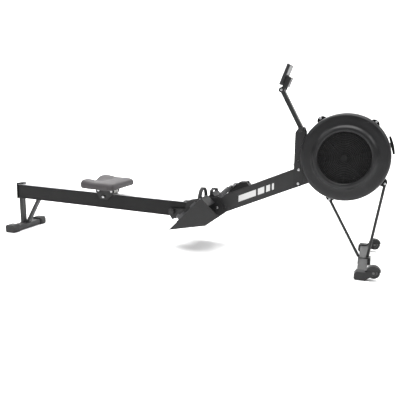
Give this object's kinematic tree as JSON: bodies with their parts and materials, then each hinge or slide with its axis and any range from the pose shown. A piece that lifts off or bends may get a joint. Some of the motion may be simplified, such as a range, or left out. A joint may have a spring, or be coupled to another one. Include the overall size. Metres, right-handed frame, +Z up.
{
  "type": "rowing machine",
  "caption": "Air-resistance rowing machine: sliding seat on a long rail, footrests, chain-drawn handle, caged flywheel, monitor on an arm and two cross feet.",
  "frame": {"origin": "on the floor, at the middle of the machine's length and width", "axes": "+X along the machine towards the flywheel, +Y to the left of a seated rower, +Z up"},
  "size_m": [2.448, 0.576, 1.082],
  "materials": {
    "rail_black": "satin black anodised",
    "beam_black": "satin black anodised",
    "frame_black": "satin black powder coat",
    "leg_grey": "satin dark grey powder coat",
    "bar_grey": "satin grey powder coat",
    "track_steel": "brushed stainless steel",
    "bolt_steel": "zinc plated",
    "chain_steel": "nickel plated",
    "cap_plastic": "fine grained",
    "black_plastic": "fine grained",
    "cover_plastic": "semi gloss black",
    "foot_plastic": "fine grained",
    "seat_foam": "matt skinned foam",
    "roller_plastic": "smooth nylon",
    "strap_fabric": "woven webbing",
    "grip_rubber": "ribbed rubber",
    "wheel_rubber": "matt rubber",
    "knob_plastic": "fine grained",
    "case_plastic": "fine grained",
    "back_plastic": "fine grained",
    "screen_panel": "clear window over a grey-green panel",
    "button_plastic": "fine grained"
  },
  "bodies": {
    "frame": {"main_beam": "beam_black", "coupler": "frame_black", "foot_tube": "leg_grey", "footrest_right": "foot_plastic", "footrest_left": "foot_plastic", "toe_strap_right": "strap_fabric", "toe_strap_left": "strap_fabric", "handle_hook": "black_plastic", "chain_span": "chain_steel", "mast": "frame_black", "frame_bolts": "bolt_steel", "drive_chain": "chain_steel", "axle_plates": "frame_black", "axle": "track_steel", "cover_right": "cover_plastic", "cover_left": "cover_plastic", "intake_grille_right": "black_plastic", "intake_grille_left": "black_plastic", "outlet_band": "black_plastic", "rim_lugs": "black_plastic", "rear_strut": "leg_grey", "front_strut": "leg_grey", "strut_socket": "frame_black", "front_foot_bar": "bar_grey", "front_foot_caps": "cap_plastic"},
    "rail": {"rail": "rail_black", "seat_track": "track_steel", "rail_ends": "black_plastic", "rear_leg": "leg_grey", "rear_brace": "leg_grey", "rear_foot_bar": "leg_grey", "rear_foot_caps": "cap_plastic"},
    "seat": {"seat_pad": "seat_foam", "seat_base": "black_plastic", "carriage": "frame_black", "carriage_axles": "bolt_steel"},
    "top_rollers_rear": {"top_rollers_rear": "roller_plastic"},
    "top_rollers_front": {"top_rollers_front": "roller_plastic"},
    "low_rollers": {"low_rollers": "roller_plastic"},
    "clamp_knob": {"clamp_knob": "knob_plastic"},
    "toe_plate_right": {"toe_plate_right": "cap_plastic"},
    "toe_plate_left": {"toe_plate_left": "cap_plastic"},
    "handle": {"handle_core": "frame_black", "handle_grips": "grip_rubber", "chain_clevis": "bolt_steel"},
    "guide_roller": {"guide_roller": "roller_plastic"},
    "sprocket": {"sprocket": "bolt_steel"},
    "fan": {"fan": "frame_black"},
    "damper": {"damper": "black_plastic"},
    "caster_right": {"caster_right": "wheel_rubber"},
    "caster_left": {"caster_left": "wheel_rubber"},
    "monitor_arm": {"monitor_arm": "frame_black"},
    "arm_knob": {"arm_knob": "knob_plastic"},
    "monitor": {"monitor_case": "case_plastic", "monitor_screen": "screen_panel", "monitor_back": "case_plastic", "monitor_panel": "back_plastic"},
    "button_right": {"button_right": "button_plastic"},
    "button_middle": {"button_middle": "button_plastic"},
    "button_left": {"button_left": "button_plastic"}
  },
  "joints": [
    {"name": "rail_lift", "type": "slide", "parent": "frame", "child": "rail", "axis": [0, 0, 1], "range_m": [0, 0.12]},
    {"name": "seat_roll", "type": "slide", "parent": "rail", "child": "seat", "axis": [0.9996, 0, -0.0279], "range_m": [-0.605, 0.48]},
    {"name": "top_rollers_rear_spin", "type": "hinge", "parent": "seat", "child": "top_rollers_rear", "pos_m": [-0.55472, 0, 0.31298], "axis": [0, 1, 0], "range_deg": [-2045, 1623]},
    {"name": "top_rollers_front_spin", "type": "hinge", "parent": "seat", "child": "top_rollers_front", "pos_m": [-0.45875, 0, 0.31029], "axis": [0, 1, 0], "range_deg": [-2045, 1623]},
    {"name": "low_rollers_spin", "type": "hinge", "parent": "seat", "child": "low_rollers", "pos_m": [-0.51781, 0, 0.27333], "axis": [0, 1, 0], "range_deg": [-2121, 2672]},
    {"name": "clamp_screw", "type": "hinge", "parent": "frame", "child": "clamp_knob", "pos_m": [-0.02697, 0, 0.21389], "axis": [0, 1, 0], "range_deg": [0, 360]},
    {"name": "toe_slide_right", "type": "slide", "parent": "frame", "child": "toe_plate_right", "axis": [0.7071, 0, 0.7071], "range_m": [-0.06, 0.01]},
    {"name": "toe_slide_left", "type": "slide", "parent": "frame", "child": "toe_plate_left", "axis": [0.7071, 0, 0.7071], "range_m": [-0.06, 0.01]},
    {"name": "handle_pull", "type": "slide", "parent": "frame", "child": "handle", "axis": [-0.9744, 0, 0.225], "range_m": [0, 1.08], "stiffness_N_per_m": 12, "springref_m": -0.6, "deforming": ["chain_span"]},
    {"name": "guide_spin", "type": "hinge", "parent": "frame", "child": "guide_roller", "pos_m": [0.72746, 0, 0.56006], "axis": [0, 1, 0], "range_deg": [-10, 6886]},
    {"name": "sprocket_spin", "type": "hinge", "parent": "frame", "child": "sprocket", "pos_m": [0.97296, 0, 0.588], "axis": [0, -1, 0], "range_deg": [-10, 2182]},
    {"name": "fan_spin", "type": "hinge", "parent": "frame", "child": "fan", "pos_m": [0.97296, 0, 0.588], "axis": [0, -1, 0], "continuous": true},
    {"name": "damper_lever", "type": "hinge", "parent": "frame", "child": "damper", "pos_m": [0.97296, 0, 0.588], "axis": [0, -1, 0], "range_deg": [-20, 45]},
    {"name": "caster_spin_right", "type": "hinge", "parent": "frame", "child": "caster_right", "pos_m": [1.15896, -0.271, 0.044], "axis": [0, 1, 0], "continuous": true},
    {"name": "caster_spin_left", "type": "hinge", "parent": "frame", "child": "caster_left", "pos_m": [1.15896, 0.271, 0.044], "axis": [0, 1, 0], "continuous": true},
    {"name": "arm_swing", "type": "hinge", "parent": "frame", "child": "monitor_arm", "pos_m": [0.73596, 0, 0.73], "axis": [0, 1, 0], "range_deg": [-60, 15]},
    {"name": "arm_clamp", "type": "hinge", "parent": "frame", "child": "arm_knob", "pos_m": [0.73596, 0, 0.73], "axis": [0, 1, 0], "range_deg": [0, 360]},
    {"name": "monitor_tilt", "type": "hinge", "parent": "monitor_arm", "child": "monitor", "pos_m": [0.62038, 0, 0.94376], "axis": [0, 1, 0], "range_deg": [-25, 35]},
    {"name": "press_right", "type": "slide", "parent": "monitor", "child": "button_right", "axis": [0.9348, 0, -0.3551], "range_m": [0, 0.0012], "stiffness_N_per_m": 600, "springref_m": -0.001},
    {"name": "press_middle", "type": "slide", "parent": "monitor", "child": "button_middle", "axis": [0.9348, 0, -0.3551], "range_m": [0, 0.0012], "stiffness_N_per_m": 600, "springref_m": -0.001},
    {"name": "press_left", "type": "slide", "parent": "monitor", "child": "button_left", "axis": [0.9348, 0, -0.3551], "range_m": [0, 0.0012], "stiffness_N_per_m": 600, "springref_m": -0.001}
  ],
  "couplings": [
    {"joint": "top_rollers_rear_spin", "follows": "seat_roll", "rad_per_m": 58.824},
    {"joint": "top_rollers_front_spin", "follows": "seat_roll", "rad_per_m": 58.824},
    {"joint": "low_rollers_spin", "follows": "seat_roll", "rad_per_m": -76.923},
    {"joint": "guide_spin", "follows": "handle_pull", "rad_per_m": 111.11},
    {"joint": "sprocket_spin", "follows": "handle_pull", "rad_per_m": 35.088}
  ]
}
